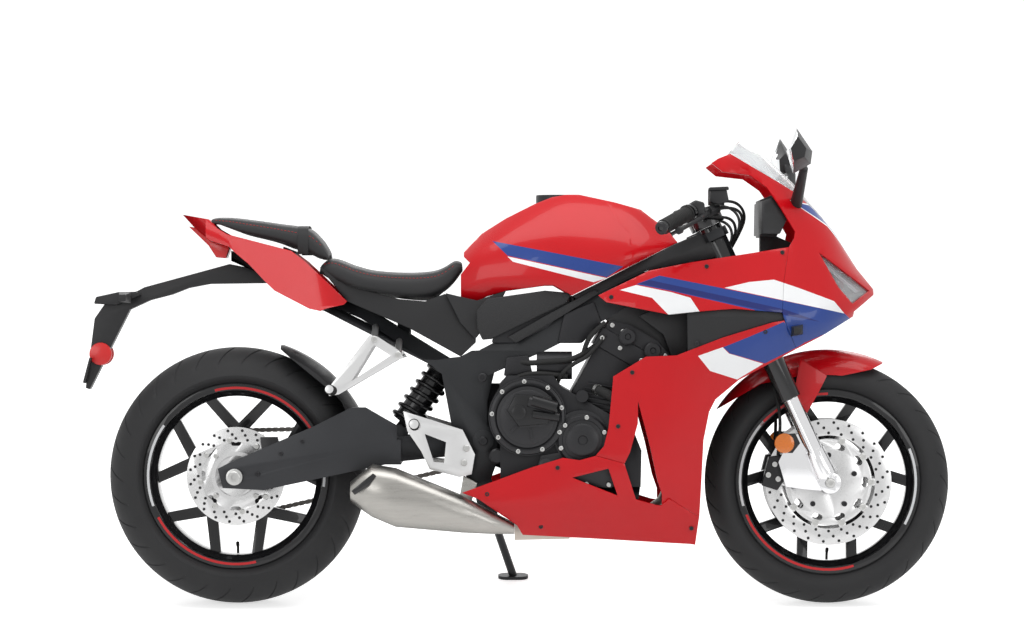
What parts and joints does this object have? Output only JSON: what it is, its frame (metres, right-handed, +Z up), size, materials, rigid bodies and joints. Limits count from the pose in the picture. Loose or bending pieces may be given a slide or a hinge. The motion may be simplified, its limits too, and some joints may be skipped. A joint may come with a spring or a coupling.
{
  "type": "sport bike",
  "caption": "Faired sport motorcycle on its side stand, with steering, spinning wheels, a folding stand and a hinged filler cap.",
  "frame": {"origin": "on the floor, below the middle of the whole bike's box as it leans on its side stand", "axes": "+X forward along the wheels, +Y to the rider's left, +Z up from the floor"},
  "size_m": [2.1264, 0.7728, 1.1919],
  "materials": {
    "red_paint": "gloss red bodywork paint",
    "tank_paint": "gloss red paint on a sheet steel tank, weighed as a hollow shell",
    "tyre_rubber": "black road tyre rubber",
    "wheel_paint": "satin black cast aluminium",
    "disc_steel": "ground steel brake disc",
    "sprocket_steel": "machined steel",
    "frame_paint": "satin dark grey painted metal",
    "subframe_paint": "black painted steel tube",
    "engine_cast": "dark grey painted castings",
    "silencer_metal": "brushed titanium-grey steel, weighed as a hollow shell",
    "header_steel": "polished header tube",
    "radiator_black": "black finned core",
    "fork_black": "satin black outer tube",
    "fork_chrome": "chromed inner tube with a black foot",
    "black_plastic": "textured black plastic",
    "seat_cover": "black vinyl seat cover with red stitching",
    "bracket_silver": "bare silver aluminium",
    "caliper_metal": "anodised caliper",
    "shock_metal": "black coil spring over a damper",
    "screen": "smoked clear screen",
    "lamp_glass": "clear lamp cover",
    "red_lens": "red lamp lens"
  },
  "bodies": {
    "chassis": {"cockpit_trim": "black_plastic", "cylinder_head": "engine_cast", "drive_chain": "sprocket_steel", "engine_block": "engine_cast", "engine_covers": "engine_cast", "exhaust_pipes": "header_steel", "foot_pegs": "bracket_silver", "frame": "frame_paint", "headlamps": "lamp_glass", "indicators": "black_plastic", "knee_pads": "black_plastic", "lower_fairing": "red_paint", "mid_fairing": "red_paint", "mirrors": "black_plastic", "nose_cowl": "red_paint", "passenger_seat": "seat_cover", "plate_bracket": "black_plastic", "radiator": "radiator_black", "rear_axle": "sprocket_steel", "rear_caliper": "caliper_metal", "rear_hugger": "black_plastic", "rider_seat": "seat_cover", "shock_absorber": "shock_metal", "silencer": "silencer_metal", "subframe": "subframe_paint", "swingarm": "frame_paint", "tail_cowl": "red_paint", "tail_light": "red_lens", "tank": "tank_paint", "tank_cover": "red_paint", "upper_fairing": "red_paint", "vent_inserts": "black_plastic", "windscreen": "screen"},
    "steering": {"fork_tubes": "fork_black", "fork_legs": "fork_chrome", "triple_clamps": "fork_black", "handlebars": "fork_black", "controls": "black_plastic", "front_calipers": "caliper_metal", "front_fender": "red_paint", "front_axle": "sprocket_steel"},
    "front_wheel": {"front_tyre": "tyre_rubber", "front_rim": "wheel_paint", "front_discs": "disc_steel"},
    "rear_wheel": {"rear_tyre": "tyre_rubber", "rear_rim": "wheel_paint", "rear_disc": "disc_steel", "rear_sprocket": "sprocket_steel"},
    "side_stand": {"side_stand": "subframe_paint"},
    "filler_cap": {"filler_cap": "bracket_silver"}
  },
  "joints": [
    {"name": "steering", "type": "hinge", "parent": "chassis", "child": "steering", "pos_m": [0.48812, -0.04054, 0.78924], "axis": [-0.4226, 0.1574, 0.8925], "range_deg": [-30, 30]},
    {"name": "front_spin", "type": "hinge", "parent": "steering", "child": "front_wheel", "pos_m": [0.7632, -0.12736, 0.29684], "axis": [0, 0.9848, -0.1736], "continuous": true},
    {"name": "rear_spin", "type": "hinge", "parent": "chassis", "child": "rear_wheel", "pos_m": [-0.6858, -0.12476, 0.31161], "axis": [0, 0.9848, -0.1736], "continuous": true},
    {"name": "stand_fold", "type": "hinge", "parent": "chassis", "child": "side_stand", "pos_m": [-0.0713, -0.04266, 0.21286], "axis": [0.055, 0.8693, 0.4913], "range_deg": [0, 94]},
    {"name": "cap_lid", "type": "hinge", "parent": "chassis", "child": "filler_cap", "pos_m": [0.1347, -0.00581, 0.9862], "axis": [0, 0.9848, -0.1736], "range_deg": [0, 95]}
  ]
}
